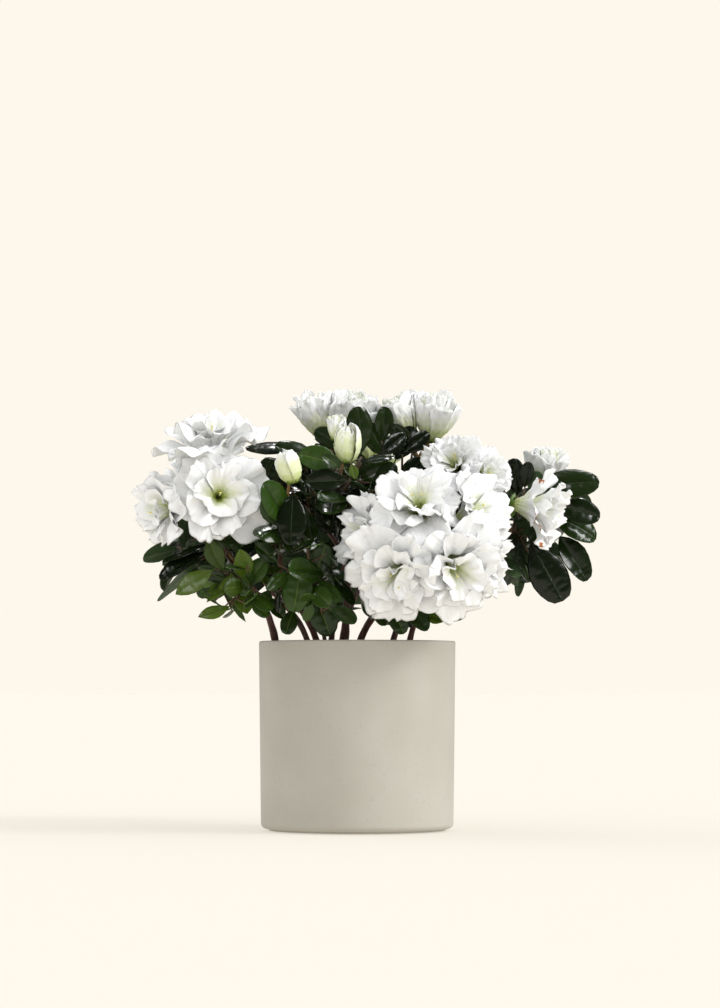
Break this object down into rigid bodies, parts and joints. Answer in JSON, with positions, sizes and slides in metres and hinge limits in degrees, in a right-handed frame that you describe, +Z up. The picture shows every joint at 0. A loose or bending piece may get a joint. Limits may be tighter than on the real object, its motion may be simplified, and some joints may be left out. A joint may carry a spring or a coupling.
{
  "type": "potted azalea shrub",
  "caption": "Small flowering evergreen shrub with bare woody stems, glossy oval leaves and ruffled double white flowers, in a plain cylindrical pot.",
  "frame": {"origin": "centre of the pot's flat underside", "axes": "+Z up through the pot and the crown, -Y towards the front of the plant, +X to its right"},
  "size_m": [0.3334, 0.2705, 0.3152],
  "materials": {
    "stoneware": "matte unglazed cream stoneware with a fine grain",
    "soil": "moist crumbly potting mix",
    "bark": "thin reddish-brown bark",
    "leaf": "glossy dark green leaf",
    "young_leaf": "satin light green leaf",
    "petal": "soft translucent white petal"
  },
  "bodies": {
    "root": {"pot": "stoneware", "potting_soil": "soil", "stem_left": "bark", "stem_left_front": "bark", "stem_slender": "bark", "stem_left_back": "bark", "stem_middle": "bark", "stem_middle_left": "bark", "stem_middle_back": "bark", "stem_right_front": "bark", "stem_right": "bark", "stem_right_back": "bark", "bough_left": "bark", "bough_low_left": "bark", "bough_front_left": "bark", "bough_low_front": "bark", "bough_top_front": "bark", "bough_top_left": "bark", "bough_top_right": "bark", "bough_front": "bark", "bough_right_front": "bark", "bough_far_right": "bark", "bough_right_back": "bark", "bough_back_right": "bark", "bough_top_back": "bark", "bough_back": "bark", "bough_left_back": "bark", "truss_left": "petal", "buds_front_left": "petal", "buds_top_front": "petal", "truss_top_left": "petal", "truss_top_right": "petal", "truss_front": "petal", "truss_right_front": "petal", "truss_far_right": "petal", "truss_right_back": "petal", "truss_back_right": "petal", "truss_top_back": "petal", "truss_back": "petal", "truss_left_back": "petal", "leaves_left": "leaf", "leaves_low_left": "young_leaf", "leaves_front_left": "leaf", "leaves_low_front": "leaf", "leaves_top_front": "leaf", "leaves_top_left": "leaf", "leaves_top_right": "leaf", "leaves_front": "leaf", "leaves_right_front": "leaf", "leaves_far_right": "leaf", "leaves_right_back": "leaf", "leaves_back_right": "leaf", "leaves_top_back": "leaf", "leaves_back": "leaf", "leaves_left_back": "leaf"}
  },
  "joints": []
}
